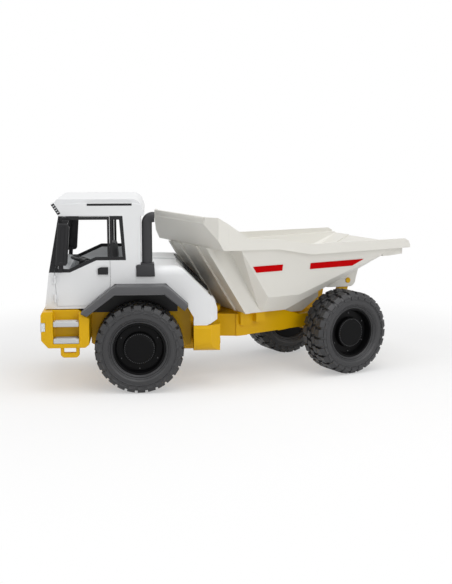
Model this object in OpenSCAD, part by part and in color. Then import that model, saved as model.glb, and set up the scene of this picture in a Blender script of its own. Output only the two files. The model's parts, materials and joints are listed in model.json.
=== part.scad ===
// Toy articulated dump truck: cab unit and dump bed unit, hinged behind the cab.
// Millimetres. +X forward, +Y to the truck's left, +Z up, wheels standing on z = 0.
// Pieces are drawn with the front axle at x = 0 and the rear unit straight behind it;
// the rear unit is then turned at the hinge, and all is moved to the middle of its footprint.

/* [Layout] */
// Distance from the front axle to the rear axle with the truck straight
wheelbase = 245; // [235:1:265]
// Distance from the front axle back to the vertical hinge
hinge_back = 85; // [82:1:88]
// How far the rear unit is turned at the hinge
turn_angle = 26; // [-27:1:27]

/* [Wheels] */
// Diameter over the tread
tyre_d = 105; // [100:1:107]
// Width of a tyre
tyre_w = 42.5; // [38:0.5:44]
// Distance between the middles of a pair of tyres
track = 143.5; // [142:0.5:147]
// Lugs in each of a tyre's two shoulder rows
lugs = 26; // [16:1:30]
// Height of a lug above the tyre's body
lug_h = 2.7; // [1.5:0.1:4]
// Diameter of the tyre's bore, where the rim sits
rim_d = 62; // [56:1:66]
// Width of the rim in the tyre's bore
rim_w = 32; // [28:1:34]
// Depth of the dish in the rim's outer face
dish_depth = 9; // [6:0.5:12]
// Diameter of the hub cap in the dish
hub_d = 37; // [30:1:42]
// Diameter of both axle shafts
shaft_d = 8; // [6:0.5:10]

/* [Cab] */
// Width over the cab's side walls
cab_w = 144; // [140:1:148]
// Thickness of the cab's walls
wall = 2.5; // [2:0.25:3.5]
// Front of the cab at its lower edge, ahead of the front axle
cab_front = 110; // [108:1:112]
// Height of the cab's lower edge
cab_low = 99; // [98.5:0.5:101]
// Back wall of the cab, ahead of the front axle
cab_back = 3; // [1:0.5:6]
// Height of the windows' lower edge at the front
sill_front = 142; // [138:1:146]
// Height of the windows' lower edge at the rear
sill_rear = 156; // [152:1:160]
// Height of the underside of the roof
roof_low = 208; // [204:1:214]
// Height of the roof over its underside
roof_h = 19; // [16:0.5:24]
// Width of the black window bars
bar = 4; // [3:0.5:5]
// How far the windscreen's top lies behind the cab's lower front edge
screen_rake = 18; // [14:1:22]

/* [Fenders and bumper] */
// Gap between the tyre's top and the fender
arch_gap = 13; // [10:0.5:16]
// Thickness of a fender
fender_t = 10; // [7:0.5:11]
// How far a fender stands out past the cab's side
fender_over = 22; // [18:0.5:25]
// How far the bumper stands out past the cab's side
bumper_over = 16; // [13:0.5:19]
// Front face of the bumper, ahead of the front axle
bumper_front = 114; // [113:1:120]
// Height of the bumper's lower edge
bumper_low = 55; // [52:1:58]

/* [Engine cover and tanks] */
// Height of the deck behind the cab
deck_top = 148; // [144:1:149]
// End of the flat deck, behind the front axle
deck_end = 49; // [46:1:50]
// Thickness of the side plates beside the hinge
plate_t = 5; // [4:0.5:5.5]
// Diameter of the air intake stack
stack_d = 12.2; // [10:0.2:14]
// Height of the air intake stack's top
stack_top = 212; // [205:1:214]
// Length of a side tank
tank_l = 32; // [26:1:33]

/* [Dump bed] */
// Width over the bed's rim
bed_w = 172; // [168:1:176]
// Thickness of the bed's walls
bed_wall = 3; // [2.5:0.25:3.5]
// Height of the bed's flat underside
bed_low = 83; // [82:0.5:85]
// How far the bed's narrow front wall and keel lie in from its rim
keel_inset = 38; // [37:0.5:42]
// Height of the rim at the tail
rim_top = 168; // [165:1:172]
// Height of the rim band
rim_h = 12; // [9:0.5:14]
// Height of the canopy's front lip
lip_top = 206; // [202:1:208]
// How far the tail reaches behind the rear axle
tail_back = 93; // [85:1:98]
// Height of the tipping pin
tip_pin_z = 111; // [109:1:113]
// How far the tipping pin lies behind the rear axle
tip_pin_back = 31; // [27:1:34]
// Diameter of the tipping pin
tip_pin_d = 7; // [5:0.5:8]

/* [Hidden] */
// Running clearance between a shaft or pin and its bore, per side
fit = 0.05;
// Gap between a door and its frame
door_gap = 0.4;
// Gap between fixed pieces that lie beside each other
seat_gap = 0.1;
// Oversize that carries a cut past a face
cut = 1;
$fn = 48;

// Wheels and axles
tyre_r = tyre_d / 2;
axle_z = tyre_r;
rear_axle_x = -wheelbase;
hinge_x = -hinge_back;
wheel_y = track / 2;
shaft_reach = 5.5;
housing_d = 24;
wheel_gap = 4;
lug_share = 0.73;
lug_angle = 360 / lugs * lug_share;
lug_in = tyre_w / 5;
housing_half = wheel_y - tyre_w / 2 - wheel_gap;

// Fender arch: outer and inner corners of the band over the front wheel
fender_top = tyre_d + arch_gap + fender_t;
fender_front = [68, fender_top - 32];
fender_knee_front = [28, fender_top];
fender_knee_rear = [-32, fender_top];
fender_rear = [-58, fender_top - 24];
knee_cut = 3;

// Half widths that follow the cab and the wheels
cab_half = cab_w / 2;
fender_half = cab_half + fender_over;
bumper_half = cab_half + bumper_over;
tyre_in = wheel_y - tyre_w / 2;
liner_half = tyre_in - 4.5;
fender_in = liner_half + 6;

// Cab outline in side view
cab_top_back = cab_back - 5.5;
ledge_z = deck_top + 1.3;
screen_foot = [cab_front - 5.5, sill_front];
screen_head = [cab_front - screen_rake, roof_low];
sill_knee_front = 80;
sill_knee_rear = 49;
quarter_back = cab_back + 11.5;
door_back = 33;
door_front = cab_front - 14;
floor_z = fender_top + 3.5;
seat_y = 28;
seat_w = 30;
door_low = cab_low + 3;
pillar_w = 6.5;
grooves = 4;
groove_h = 3;
groove_pitch = (sill_front - cab_low) / (grooves + 1);
groove_depth = wall / 2;
groove_half = cab_half - 16;
knuckle_r = 1.5;
knuckle_h = 3;
knuckle_gap = 0.3;
door_pin_r = 0.8;
leaf_t = 1;
leaf_l = 4;
door_axis = [cab_front - 12.5, cab_half + knuckle_r + 0.1];
hinge_heights = [cab_low + 13, sill_front - 8];
arch_slope = (fender_knee_front[1] - fender_front[1]) / (fender_knee_front[0] - fender_front[0]);

// Roof
roof_top = roof_low + roof_h;
brow_top = roof_top - 5;
visor_tip = [screen_head[0] + 9, brow_top];
roof_back = cab_back - 10;
roof_r = roof_h - 7;
roof_wall = 4;
ceiling_t = 6;
cap_half = cab_half - 6;
slot_h = 2.6;
slot_l = 52;
slot_depth = 3;
slot_place = [cab_back + 4, cab_half - slot_depth, brow_top - slot_h + 0.3];
visor_run = visor_tip - screen_head;
visor_out = [visor_run[1], -visor_run[0]] / norm(visor_run);
visor_band_t = 2;
visor_band_half = cab_half - 5;
roof_lamp_w = 14;
roof_lamp_pitch = (cab_w - 16) / 4;
roof_lamp_t = 1.4;

// Bumper, steps and lamps
bumper_back = 58;
bumper_top = cab_low - 1;
pocket_front = bumper_front - 14;
pocket_back = pocket_front - 30;
pocket_half = cab_half + 2;
pocket_floor = bumper_low + 5;
step_t = 6;
step_l = pocket_front - pocket_back - 2 * seat_gap;
step_pitch = 20;
step_tops = [for (i = [0, 1]) pocket_floor + step_t + i * step_pitch];
loop_low = bumper_low - 12;
loop_l = 22;
loop_bar = 4;
loop_t = 6;
lamp_low = bumper_low + 20;
lamp_h = 10;
lamp_t = 5;
lamp_inner = bumper_half - 34;

// Engine cover
plate_out = cab_half;
plate_in = plate_out - plate_t;
shoulder = 12;
slope_foot = [hinge_x, 112];
fin_back = hinge_x - 8;
plate_low = 77;
cover_foot_half = 15;
cover_head_half = 30;
full_deck_end = -deck_end + 5;
shoulder_end = -deck_end - 17;
hinge_pocket_half = plate_in - 13;
grille_t = 2;
grille_drop = 1.8;
hole = 3.2;
hole_pitch = 5;
hole_floor = grille_t - 1.2;
stack_x = -10.2;
stack_y = cab_half - 6;
stack_base_top = deck_top + 4;

// Chassis and hinge
rail_half = 30;
rail_low = 40;
rail_top = 72;
rail_back = -66;
hinge_ear_r = 16;
hinge_ear_t = 7;
hinge_ear_tops = [rail_low + hinge_ear_t, 90];
hinge_pin_d = 9;
boss_r = 13;
boss_gap = 0.6;
tank_front = -64.5;
liner_back = tank_front + 2;
liner_drop = [0, 0.6];
tank_w = 30;
tank_out = cab_half + 2;
tank_in = tank_out - tank_w;
tank_low = 44.5;
tank_r = 14;

// Dump bed in side view, and its half widths
rim_half = bed_w / 2;
keel_half = rim_half - keel_inset;
wall_foot = [hinge_x - 28, bed_low];
wall_head = [hinge_x + 27, rim_top - 0.5];
tail_x = rear_axle_x - tail_back;
keel_bend = rear_axle_x + 75;
keel_tail = [rear_axle_x - 67, rim_top - 22.5];
tail_plate_half = rim_half - 11;
floor_top = bed_low + bed_wall;
floor_tail = [tail_x - 6, rim_top - 5];
bulge_half = rim_half - 20;
bulge_top_half = rim_half - 6;
panel_low = bed_low + 21;
panel_tail = [rear_axle_x - 58, rim_top - 19];
keel_tail_half = rim_half - 23;
slab_t = 0.1;
bulge_head = [hinge_x - 1, rim_top - 2];
bulge_foot = [hinge_x - 46, bed_low + 4];
hump_top = rim_top + 9;
hump_back = hinge_x - 51;
hump_foot = rear_axle_x + 62;
slope_back = hinge_x - 10;
crest_x = hinge_x + 31;
lip_x = hinge_x + 40;
lip_h = 8;
lip_half = rim_half - 22;
hood_low = wall_head[1];
tip_pin = [rear_axle_x - tip_pin_back, tip_pin_z];
ear_r = 9;
ear_t = 5;
ear_gap = 0.5;
frame_half = rail_half;
frame_low = 52;
neck_back = hinge_x - 40;
rest_x = hinge_x - 28;
tie_x = rear_axle_x + 61;
frame_top = bed_low - 3;
bed_rest = bed_low - 0.5;
frame_t = 7;
beam_half = frame_half - frame_t - 3;
beam_front = rear_axle_x + 95;
beam_back = rear_axle_x + 5;
ear_in = frame_half + ear_gap;
stripe_t = 0.8;
stripe_h = 8;
rib_half = 2;
rib_proud = 2.5;
ribs = [-keel_half, -22, 22, keel_half];

// Footprint of the turned truck, for placing it over its middle
function turned(p) = [
    hinge_x + (p[0] - hinge_x) * cos(turn_angle) - p[1] * sin(turn_angle),
    (p[0] - hinge_x) * sin(turn_angle) + p[1] * cos(turn_angle)
];
tail_corners = [turned([tail_x, rim_half]), turned([tail_x, -rim_half])];
back_x = min(tail_corners[0][0], tail_corners[1][0]);
right_y = min(-fender_half, tail_corners[1][1]);
left_y = max(fender_half, tail_corners[0][1]);
middle = [(bumper_front + back_x) / 2, (left_y + right_y) / 2];

white = "#e9e9e7";
yellow = "#dcab08";
dark_grey = "#4a4a4c";
black = "#2b2b2d";
silver = "#b4b6b8";
rubber = "#1f1f20";
pale_grey = "#c9cbcc";
red = "#b8141a";
lens = "#dfe6ea";

// Placing and drawing helpers

// A piece of the cab unit, moved over the footprint's middle
module front_unit() {
    translate([-middle[0], -middle[1], 0])
        children();
}

// A piece of the rear unit, turned at the hinge
module rear_unit() {
    front_unit()
        translate([hinge_x, 0, 0])
            rotate([0, 0, turn_angle])
                translate([-hinge_x, 0, 0])
                    children();
}

// A side view outline drawn in x and z, given thickness from y = low to y = high
module across(low, high) {
    translate([0, high, 0])
        rotate([90, 0, 0])
            linear_extrude(high - low)
                children();
}

// A cross section drawn in y and z, given length from x = low to x = high
module lengthwise(low, high) {
    translate([low, 0, 0])
        rotate([90, 0, 90])
            linear_extrude(high - low)
                children();
}

module both_sides() {
    children();
    mirror([0, 1, 0])
        children();
}

// side is 1 for left and -1 for right
module on_side(side) {
    mirror([0, side > 0 ? 0 : 1, 0])
        children();
}

// Points of an arc about c, for rounding an outline
function arc(c, r, a0, a1, steps = 8) =
    [for (i = [0 : steps]) c + r * [cos(a0 + (a1 - a0) * i / steps), sin(a0 + (a1 - a0) * i / steps)]];

// A point on the line from a to b at a given x, in side view
function at_run(a, b, x) = [x, a[1] + (b[1] - a[1]) * (x - a[0]) / (b[0] - a[0])];

// A point on the line from a to b at height z, in side view
function at_height(a, b, z) = [a[0] + (b[0] - a[0]) * (z - a[1]) / (b[1] - a[1]), z];

// Wheels

// One tyre with its lugs as a closed solid of flat facets. Stations lie round the axle in pairs,
// the start and the end of a lug, and each carries the same half section on both sides.
module tyre_body() {
    half = tyre_w / 2;
    root_r = tyre_r - lug_h;
    bore_r = (rim_d / 2 + seat_gap) / cos(lug_angle / 2);
    // Columns: radius, distance from the tyre's middle plane
    body = [[bore_r, rim_w / 2], [rim_d / 2 + 7, half], [root_r - 3.5, half - 0.5], [root_r, half - 4],
        [root_r, lug_in]];
    lug = [[tyre_r, half - 4.5], [tyre_r, lug_in]];
    section = concat(
        [for (p = body) [p[0], -p[1]]],
        [for (i = [len(body) - 1 : -1 : 0]) body[i]],
        [for (p = lug) [p[0], -p[1]]],
        [for (i = [len(lug) - 1 : -1 : 0]) lug[i]]);
    n = len(section);
    stations = [for (i = [0 : lugs - 1]) each [i * 360 / lugs, i * 360 / lugs + lug_angle]];
    // The section's points in order, across a gap and across a lug, and round a lug's flank on each side
    gap_loop = [0, 1, 2, 3, 4, 5, 6, 7, 8, 9];
    lug_loop = [0, 1, 2, 10, 11, 4, 5, 12, 13, 7, 8, 9];
    flanks = [[2, 10, 11, 4, 3], [5, 12, 13, 7, 6]];
    rotate([90, 0, 0])
        polyhedron(
            points = [for (a = stations) for (p = section) [p[0] * cos(a), p[0] * sin(a), p[1]]],
            faces = concat(
                [for (i = [0 : lugs - 1]) each band(2 * i * n, (2 * i + 1) * n, lug_loop)],
                [for (i = [0 : lugs - 1]) each band((2 * i + 1) * n, 2 * ((i + 1) % lugs) * n, gap_loop)],
                [for (i = [0 : lugs - 1]) for (f = flanks) [for (k = [4 : -1 : 0]) f[k] + 2 * i * n]],
                [for (i = [0 : lugs - 1]) for (f = flanks) [for (k = f) k + (2 * i + 1) * n]]));
}

// Facets between two stations whose points start at a and b, along a closed loop of section points
function band(a, b, loop) =
    [for (j = [0 : len(loop) - 1])
        let(k = loop[(j + 1) % len(loop)])
        [a + loop[j], a + k, b + k, b + loop[j]]];

// The dish faces +Y, and the blind shaft bore opens on -Y
module rim_body() {
    r = rim_d / 2;
    half = rim_w / 2;
    rotate([90, 0, 0])
        mirror([0, 0, 1])
            rotate_extrude($fn = 96)
                polygon([[shaft_d / 2 + fit, -half], [r, -half], [r, half], [r - 2, half],
                    [r - 4, half - dish_depth], [hub_d / 2 + 1, half - dish_depth], [hub_d / 2, half - 3],
                    [hub_d / 2 - 4, half - 2], [0, half - 2], [0, shaft_reach + 0.5],
                    [shaft_d / 2 + fit, shaft_reach + 0.5]]);
}

module wheel_place(x, side) {
    translate([x, side * wheel_y, axle_z])
        on_side(side)
            children();
}

// A tyre is alike on both faces, so both sides take it the same way round
module tyre_place(x, side) {
    translate([x, side * wheel_y, axle_z])
        on_side(-1)
            tyre_body();
}

module axle_shaft(x) {
    color(dark_grey)
        translate([x, 0, axle_z])
            rotate([90, 0, 0])
                cylinder(d = shaft_d, h = 2 * (wheel_y + shaft_reach), center = true);
}

// The tube round a shaft, with the shaft's bore
module axle_housing(x) {
    translate([x, 0, axle_z])
        rotate([90, 0, 0])
            cylinder(d = housing_d, h = 2 * housing_half, center = true);
}

module shaft_bore(x) {
    translate([x, 0, axle_z])
        rotate([90, 0, 0])
            cylinder(d = shaft_d + 2 * fit, h = 2 * housing_half + 2 * cut, center = true);
}

// Cab unit: chassis, bumper and steps

module hinge_ear(top) {
    translate([0, 0, top - hinge_ear_t])
        linear_extrude(hinge_ear_t)
            union() {
                translate([hinge_x, 0])
                    circle(hinge_ear_r);
                translate([hinge_x, -hinge_ear_r])
                    square([rail_back - hinge_x + 6, 2 * hinge_ear_r]);
            }
}

module front_chassis() {
    color(yellow)
        front_unit()
            difference() {
                union() {
                    across(-rail_half, rail_half)
                        polygon([[bumper_back, rail_low + 8], [bumper_back, rail_top],
                            [rail_back, rail_top], [rail_back, rail_low], [bumper_back - 20, rail_low]]);
                    across(-hinge_ear_r, hinge_ear_r)
                        polygon([[rail_back, rail_low], [rail_back, hinge_ear_tops[1]],
                            [rail_back + 8, hinge_ear_tops[1]], [rail_back + 22, rail_low]]);
                    axle_housing(0);
                    across(-liner_half, liner_half)
                        polygon([[bumper_back, rail_low + 12],
                            at_run(fender_front, fender_knee_front, bumper_back) - liner_drop,
                            fender_knee_front - liner_drop, fender_knee_rear - liner_drop,
                            fender_rear - liner_drop, [liner_back, slope_foot[1] - 15],
                            [liner_back, rail_low + 8]]);
                    for (top = hinge_ear_tops)
                        hinge_ear(top);
                    both_sides()
                        translate([tank_front - 6, rail_half - 1, tank_low + 6])
                            cube([6, tank_in - rail_half + 1, 20]);
                }
                shaft_bore(0);
                translate([hinge_x, 0, 0])
                    cylinder(d = hinge_pin_d + 2 * fit, h = deck_top);
            }
}

module articulation_pin() {
    head_h = 2.5;
    color(silver)
        front_unit()
            translate([hinge_x, 0, 0]) {
                translate([0, 0, rail_low - head_h])
                    cylinder(d = hinge_pin_d, h = hinge_ear_tops[1] - rail_low + head_h);
                translate([0, 0, rail_low - head_h])
                    cylinder(d = hinge_pin_d + 5, h = head_h - seat_gap);
            }
}

module bumper() {
    color(yellow)
        front_unit()
            difference() {
                union() {
                    across(-bumper_half, bumper_half)
                        polygon([[bumper_back, bumper_low + 4], [bumper_back, fender_front[1] - 6.3],
                            [fender_front[0] + 4, bumper_top],
                            [bumper_front - 2, bumper_top], [bumper_front, bumper_top - 4],
                            [bumper_front, bumper_low + 9], [bumper_front - 8, bumper_low],
                            [bumper_back + 5, bumper_low]]);
                    both_sides()
                        hanging_loop();
                }
                both_sides() {
                    translate([pocket_back, pocket_half, pocket_floor])
                        cube([pocket_front - pocket_back, bumper_half, bumper_top]);
                    translate([bumper_front - lamp_t, lamp_inner, lamp_low])
                        cube([lamp_t + cut, bumper_half, lamp_h]);
                }
                translate([bumper_back - cut, -rail_half + 6, rail_top])
                    cube([30, 2 * rail_half - 12, 40]);
            }
}

// The open step that hangs below the bumper's end
module hanging_loop() {
    across(bumper_half - loop_t - 3, bumper_half - 3)
        difference() {
            polygon([[pocket_back, bumper_low + cut], [pocket_back, loop_low + 3],
                [pocket_back + 3, loop_low], [pocket_back + loop_l - 3, loop_low],
                [pocket_back + loop_l, loop_low + 3],
                [pocket_back + loop_l, bumper_low + cut]]);
            translate([pocket_back + loop_bar, loop_low + loop_t])
                square([loop_l - 2 * loop_bar, bumper_low - loop_low]);
        }
}

module steps() {
    color(silver)
        front_unit()
            both_sides()
                for (top = step_tops)
                    translate([pocket_back + seat_gap, pocket_half + seat_gap, top - step_t + seat_gap])
                        cube([step_l, bumper_half - pocket_half - 0.5, step_t]);
}

module headlamps() {
    color(lens)
        front_unit()
            both_sides()
                translate([bumper_front - lamp_t + seat_gap, lamp_inner + seat_gap, lamp_low + seat_gap])
                    cube([lamp_t, bumper_half - lamp_inner, lamp_h] - seat_gap * [1, 2, 2]);
}

// Cab unit: cab walls, roof and windows

// The cab's side outline, drawn in by t on every side
module cab_outline(t = 0) {
    arch_t = t * 1.3;
    polygon([[cab_front - t, cab_low + t], screen_foot - [t, 0], [screen_head[0] - t, roof_low],
        [cab_top_back + t, roof_low], [cab_top_back + t, ledge_z + t], [cab_back + t, ledge_z + t],
        [cab_back + t, fender_top + t], [fender_knee_front[0] + t * 0.4, fender_top + t],
        at_height(fender_front + [0, arch_t], fender_knee_front + [0, arch_t], cab_low + t)]);
}

// The part of the outline that is black window surround
module window_zone() {
    polygon([[quarter_back + 3.5, roof_low + cut], [quarter_back, sill_rear], [sill_knee_rear, sill_rear],
        [sill_knee_front, sill_front], [cab_front + 10, sill_front], [cab_front + 10, roof_low + cut]]);
}

// The door's outline, drawn in by t on every side
module door_zone(t = 0) {
    arch_t = t * 1.3 + 0.4;
    foot = screen_foot - [pillar_w + t, 0];
    head = screen_head - [t + 1.5, 0];
    polygon([[door_front - t, door_low + t], foot, at_height(foot, head, roof_low - 0.6 - t),
        [door_back + t, roof_low - 0.6 - t],
        [door_back + t, fender_knee_front[1] + arch_t + (door_back - fender_knee_front[0]) * arch_slope],
        at_height(fender_front + [0, arch_t], fender_knee_front + [0, arch_t], door_low + t)]);
}

// The glazed opening in a door, and the fixed one behind it
module door_opening() {
    foot = screen_foot - [pillar_w + bar, -bar];
    head = screen_head - [bar + 2, 0];
    polygon([foot, at_height(foot, head, roof_low - bar - 0.5), [door_back + 3, roof_low - bar - 0.5],
        [door_back + 3, sill_rear + bar], [sill_knee_rear + 1, sill_rear + bar],
        [sill_knee_front + 1, sill_front + bar]]);
}

module quarter_opening() {
    polygon([[door_back - 3, roof_low - bar - 0.5], [quarter_back + bar + 3.5, roof_low - bar - 0.5],
        [quarter_back + bar, sill_rear + bar], [door_back - 3, sill_rear + bar]]);
}

// The cab's four walls, open below and above
module cab_walls() {
    difference() {
        across(-cab_half, cab_half)
            cab_outline();
        across(-cab_half + wall, cab_half - wall)
            union() {
                cab_outline(wall);
                translate([cab_top_back + wall, roof_low - wall])
                    square([screen_head[0] - cab_top_back - 2 * wall, wall + cut]);
            }
    }
}

module cab_shell() {
    color(white)
        front_unit()
            difference() {
                cab_walls();
                across(-cab_half - cut, cab_half + cut)
                    window_zone();
                both_sides()
                    across(cab_half - wall - cut, cab_half + cut)
                        door_zone();
                for (i = [0 : grooves - 1])
                    front_groove(cab_low + groove_pitch * (i + 1));
            }
    color(white)
        front_unit()
            both_sides()
                for (z = hinge_heights)
                    cab_leaf(z);
}

// A level groove in the cab's raked front panel, with its foot at height z
module front_groove(z) {
    foot = at_height([cab_front, cab_low], screen_foot, z);
    head = at_height([cab_front, cab_low], screen_foot, z + groove_h);
    across(-groove_half, groove_half)
        polygon([foot + [cut, 0], head + [cut, 0], head - [groove_depth, 0], foot - [groove_depth, 0]]);
}

module window_frame() {
    color(black)
        front_unit()
            difference() {
                intersection() {
                    cab_walls();
                    across(-cab_half, cab_half)
                        window_zone();
                }
                both_sides()
                    across(cab_half - wall - cut, cab_half + cut) {
                        door_zone();
                        quarter_opening();
                    }
                screen_cut(0);
            }
}

// The windscreen's opening through the raked front wall, drawn in by t
module screen_cut(t) {
    half = cab_half - 9 - t;
    low = at_height(screen_foot, screen_head, sill_front + bar + 2 + t);
    high = at_height(screen_foot, screen_head, roof_low - bar - t);
    across(-half, half)
        polygon([low + [3, 0], high + [3, 0], high - [6, 0], low - [6, 0]]);
}

module windscreen() {
    half = cab_half - 9 - seat_gap;
    low = at_height(screen_foot, screen_head, sill_front + bar + 2 + seat_gap);
    high = at_height(screen_foot, screen_head, roof_low - bar - seat_gap);
    color(lens, 0.4)
        front_unit()
            across(-half, half)
                polygon([low - [0.6, 0], high - [0.6, 0], high - [2, 0], low - [2, 0]]);
}

module cab_roof() {
    color(white)
        front_unit()
            difference() {
                union() {
                    across(-cab_half, cab_half)
                        polygon(concat([screen_head, visor_tip],
                            arc([roof_back + roof_r, brow_top - roof_r], roof_r, 90, 180),
                            [[roof_back, roof_low]]));
                    across(-cap_half, cap_half)
                        polygon(concat([[visor_tip[0] - 3, brow_top - cut], [visor_tip[0] - 7, roof_top]],
                            arc([roof_back + roof_r + 2, roof_top - roof_r], roof_r, 90, 180)));
                }
                across(-cab_half + roof_wall, cab_half - roof_wall)
                    polygon([[cab_back + wall, roof_low - cut], [cab_back + wall, brow_top - ceiling_t],
                        [screen_head[0] - ceiling_t, brow_top - ceiling_t],
                        [screen_head[0] - ceiling_t, roof_low - cut]]);
                both_sides()
                    translate(slot_place)
                        cube([slot_l, slot_depth + cut, slot_h]);
                visor_strip(visor_band_half, 0.08, 0.92, -visor_band_t, cut);
            }
}

// The dark strip in the slot over each door
module roof_trim() {
    color(black)
        front_unit()
            both_sides()
                translate(slot_place + [seat_gap, seat_gap, seat_gap])
                    cube([slot_l - 2 * seat_gap, slot_depth - 0.6, slot_h - 2 * seat_gap]);
}

// A bar along the visor's face: its half width, its start and end as shares of the face, and its two depths
module visor_strip(half, from, to, low, high) {
    start = screen_head + from * visor_run;
    end = screen_head + to * visor_run;
    across(-half, half)
        polygon([start + low * visor_out, end + low * visor_out,
            end + high * visor_out, start + high * visor_out]);
}

module visor_band() {
    color(black)
        front_unit()
            visor_strip(visor_band_half - seat_gap, 0.09, 0.91, -visor_band_t + seat_gap, 0);
}

module roof_lamps() {
    color(lens)
        front_unit()
            for (i = [-1.5 : 1 : 1.5])
                translate([0, i * roof_lamp_pitch, 0])
                    visor_strip(roof_lamp_w / 2, 0.28, 0.74, seat_gap, roof_lamp_t);
}

module cab_interior() {
    color(pale_grey)
        front_unit() {
            intersection() {
                across(-cab_half + wall + door_gap, cab_half - wall - door_gap)
                    cab_outline(wall + seat_gap);
                translate([cab_back, -cab_half, cab_low])
                    cube([cab_front, cab_w, floor_z - cab_low]);
            }
            across(-cab_half + 6, cab_half - 6)
                polygon([[sill_knee_front + 4, floor_z - cut], [sill_knee_front + 2, sill_front + 2],
                    [sill_knee_front + 10, sill_front + 5], [screen_foot[0] - 8, sill_front + 3],
                    [screen_foot[0] - 6, floor_z - cut]]);
        }
}

module seat() {
    front = 62;
    pan_h = 12;
    back_h = 42;
    color(dark_grey)
        front_unit()
            translate([0, seat_y, 0])
                across(-seat_w / 2, seat_w / 2)
                    polygon(concat([[front, floor_z], [front + 2, floor_z + pan_h - 3],
                        [front - 2, floor_z + pan_h], [front - 22, floor_z + pan_h - 2]],
                        arc([front - 32, floor_z + back_h - 4], 4, 20, 170), [[front - 40, floor_z]]));
}

module steering_wheel() {
    tilt = 14;
    ring_r = 12;
    ring_t = 1.8;
    sides = 6;
    hub_r = 4;
    hub_h = 3;
    column_r = 2.5;
    hub = [sill_knee_front - 11, seat_y, sill_front + 10];
    column_l = (hub[2] - floor_z) / cos(tilt) - column_r * tan(tilt);
    color(black)
        front_unit()
            translate(hub)
                rotate([0, -tilt, 0]) {
                    ring_solid([for (i = [0 : sides - 1])
                        [ring_r + ring_t * cos(i * 360 / sides), ring_t * sin(i * 360 / sides)]], 24);
                    for (a = [0, 120, 240])
                        rotate([0, 0, a])
                            translate([0, -ring_t, -cut])
                                cube([ring_r, 2 * ring_t, 2 * cut]);
                    cylinder(r = hub_r, h = hub_h, center = true);
                    translate([0, 0, -column_l])
                        cylinder(r = column_r, h = column_l);
                }
}

// A ring of flat facets with the given section in radius and height
module ring_solid(section, count) {
    n = len(section);
    polyhedron(
        points = [for (i = [0 : count - 1]) for (p = section)
            [p[0] * cos(i * 360 / count), p[0] * sin(i * 360 / count), p[1]]],
        faces = [for (i = [0 : count - 1])
            each band(i * n, ((i + 1) % count) * n, [for (j = [0 : n - 1]) j])]);
}

// Cab unit: engine cover, intake stack, fenders and tanks

// The deck and slope behind the cab in side view
module deck_profile(sink = 0) {
    polygon([[cab_back - seat_gap, fender_top], [cab_back - seat_gap, deck_top + 1], [-20, deck_top + 1],
        [-deck_end + 4, deck_top], [-deck_end - 3, deck_top - 3 - sink], slope_foot - [0, sink],
        slope_foot - [0, 14], [fender_rear[0] - 4, slope_foot[1] - 14], fender_rear + [-4, 0], fender_rear,
        fender_knee_rear]);
}

// A plate beside the hinge in side view, from the fender back to its fin
module plate_profile() {
    head = at_height([-deck_end, deck_top], slope_foot, deck_top - shoulder);
    polygon([[cab_back - seat_gap, fender_top], [cab_back - seat_gap, deck_top - shoulder], head,
        slope_foot, slope_foot - [2, 0.5], [fin_back + 3, slope_foot[1] - 5], [fin_back, slope_foot[1] - 16],
        [fin_back, plate_low + 6], [fin_back + 13, plate_low], [tank_front, plate_low],
        [tank_front, plate_low + 10], fender_rear + [-0.2, -6], fender_rear, fender_knee_rear]);
}

module engine_cover() {
    deck = deck_top + 1;
    color(white)
        front_unit()
            difference() {
                union() {
                    difference() {
                        intersection() {
                            across(-plate_out, plate_out)
                                deck_profile();
                            lengthwise(shoulder_end, cab_back)
                                polygon(concat([[-plate_out, 0]],
                                    arc([-plate_out + shoulder, deck - shoulder], shoulder, 180, 90),
                                    arc([plate_out - shoulder, deck - shoulder], shoulder, 90, 0),
                                    [[plate_out, 0]]));
                        }
                        translate([shoulder_end - cut, -hinge_pocket_half, 0])
                            cube([full_deck_end - shoulder_end + cut, 2 * hinge_pocket_half, deck + cut]);
                    }
                    intersection() {
                        across(-plate_out, plate_out)
                            deck_profile(grille_t + grille_drop);
                        linear_extrude(deck + cut)
                            polygon([[full_deck_end + cut, cover_head_half + 2],
                                [full_deck_end + cut, -cover_head_half - 2],
                                [slope_foot[0], -cover_foot_half], [slope_foot[0], cover_foot_half]]);
                    }
                    both_sides()
                        intersection() {
                            across(plate_in - 8, plate_out)
                                plate_profile();
                            linear_extrude(deck_top)
                                polygon([[cab_back, plate_out], [slope_foot[0], plate_out],
                                    [fin_back, plate_out + fin_back - slope_foot[0]],
                                    [fin_back, plate_in + fin_back - slope_foot[0] - 2],
                                    [slope_foot[0] + 2, plate_in], [cab_back, plate_in]]);
                        }
                }
                translate([-38, 0, deck_top - 1])
                    lengthened_disc(9, 14, 4);
            }
}

// A flat disc drawn out along x, for the oval recess on the deck
module lengthened_disc(r, l, h) {
    linear_extrude(h)
        union() {
            circle(r);
            translate([0, -r])
                square([l, 2 * r]);
            translate([l, 0])
                circle(r);
        }
}

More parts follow.
